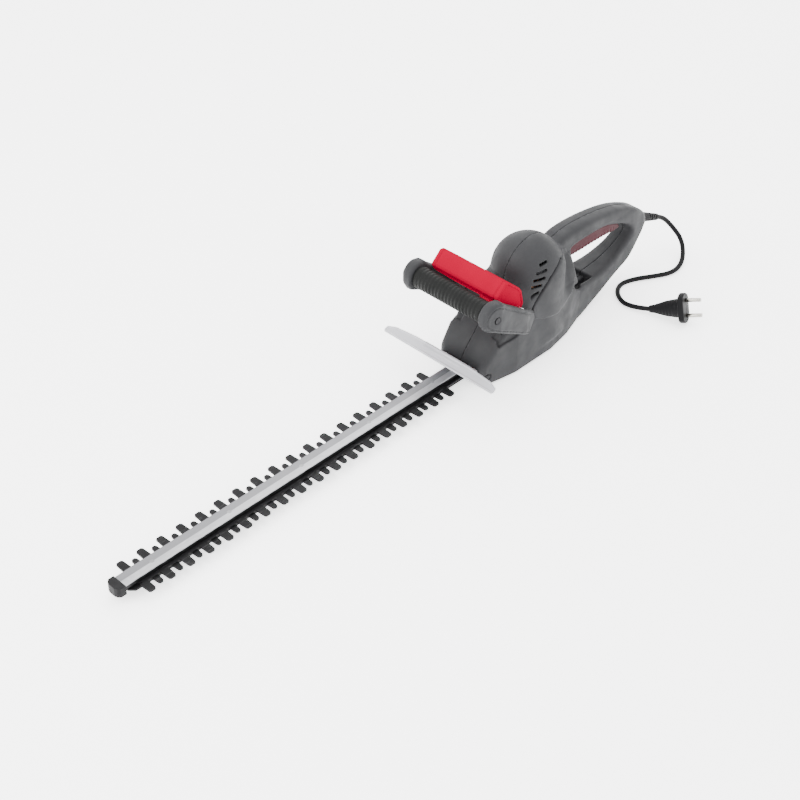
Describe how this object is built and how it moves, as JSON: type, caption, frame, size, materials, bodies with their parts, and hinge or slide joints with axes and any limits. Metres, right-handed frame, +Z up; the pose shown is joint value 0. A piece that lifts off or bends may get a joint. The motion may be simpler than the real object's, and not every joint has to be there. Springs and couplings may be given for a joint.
{
  "type": "hedge trimmer",
  "caption": "Corded electric hedge trimmer: vertical motor and gearbox driving two opposed toothed blades, D-shaped rear grip, bow handle and hand guard.",
  "frame": {"origin": "foot of the vertical motor axis on the flat underside the tool rests on", "axes": "+X forward along the blades to their tip, +Y to the tool's left side, +Z up"},
  "size_m": [0.9024, 0.2241, 0.151],
  "materials": {
    "casing": "grained",
    "arm": "grained",
    "grip": "ribbed",
    "red": "smooth",
    "guard": "translucent",
    "bar": "rolled",
    "blade": "ground",
    "cap": "moulded",
    "fastener": "zinc plated",
    "shaft": "turned",
    "gear": "sintered",
    "frame_plate": "die cast",
    "lamination": "stacked sheet",
    "winding": "enamelled copper",
    "commutator": "turned copper",
    "carbon": "pressed carbon",
    "inner_plastic": "moulded",
    "fan": "moulded",
    "capacitor": "smooth",
    "cord": "smooth",
    "plug": "moulded",
    "plug_pin": "nickel plated",
    "spring": "drawn wire"
  },
  "bodies": {
    "housing": {"housing_left": "casing", "housing_right": "casing", "housing_screws": "fastener", "gear_plate": "frame_plate", "bottom_cover": "inner_plastic", "bottom_cover_screws": "fastener", "stator_core": "lamination", "stator_coils": "winding", "motor_bearing_lower": "shaft", "motor_bearing_upper": "shaft", "motor_end_shield": "inner_plastic", "brush_holders": "inner_plastic", "carbon_brushes": "carbon", "gear_axle": "shaft", "guide_bar": "bar", "blade_bolts": "fastener", "bar_mount_bolts": "fastener", "tip_cap": "cap", "tip_cap_rivet": "fastener", "guard": "guard", "guard_screws": "fastener", "front_handle": "arm", "front_grip": "grip", "handle_screws": "fastener", "trigger_pin": "shaft", "trigger_spring": "spring", "trigger_switch": "inner_plastic", "lever_switch": "inner_plastic", "suppression_capacitor": "capacitor", "cord_clamp": "inner_plastic", "strain_relief": "cord", "cord": "cord", "plug_body": "plug", "plug_pins": "plug_pin"},
    "rotor": {"rotor_shaft": "shaft", "rotor_core": "lamination", "rotor_windings": "winding", "commutator": "commutator", "cooling_fan": "fan"},
    "gear": {"drive_gear": "gear", "crank_upper": "gear", "crank_lower": "gear"},
    "upper_blade_set": {"blade_upper": "blade", "con_rod_upper": "gear", "rod_pin_upper": "shaft"},
    "lower_blade_set": {"blade_lower": "blade", "con_rod_lower": "gear", "rod_pin_lower": "shaft"},
    "front_lever_set": {"front_lever": "red", "lever_pivot_pins": "shaft"},
    "trigger_set": {"trigger": "red"}
  },
  "joints": [
    {"name": "rotor_spin", "type": "hinge", "parent": "housing", "child": "rotor", "pos_m": [0, 0, 0.05], "axis": [0, 0, 1], "continuous": true},
    {"name": "gear_spin", "type": "hinge", "parent": "housing", "child": "gear", "pos_m": [0.042, 0, 0.02], "axis": [0, 0, 1], "continuous": true},
    {"name": "blade_upper", "type": "slide", "parent": "housing", "child": "upper_blade_set", "axis": [1, 0, 0], "range_m": [0, 0.0105]},
    {"name": "blade_lower", "type": "slide", "parent": "housing", "child": "lower_blade_set", "axis": [1, 0, 0], "range_m": [-0.0105, 0]},
    {"name": "front_lever", "type": "hinge", "parent": "housing", "child": "front_lever_set", "pos_m": [0.074, 0, 0.104], "axis": [0, 1, 0], "range_deg": [0, 6], "stiffness_Nm_per_rad": 1.2, "springref_deg": -8.02},
    {"name": "rear_trigger", "type": "hinge", "parent": "housing", "child": "trigger_set", "pos_m": [-0.057, 0, 0.104], "axis": [0, 1, 0], "range_deg": [0, 5], "stiffness_Nm_per_rad": 1.5, "springref_deg": -8.02, "deforming": ["trigger_spring"]}
  ],
  "couplings": [
    {"joint": "gear_spin", "follows": "rotor_spin", "ratio": -0.2069},
    {"joint": "blade_lower", "follows": "blade_upper", "ratio": -1}
  ]
}
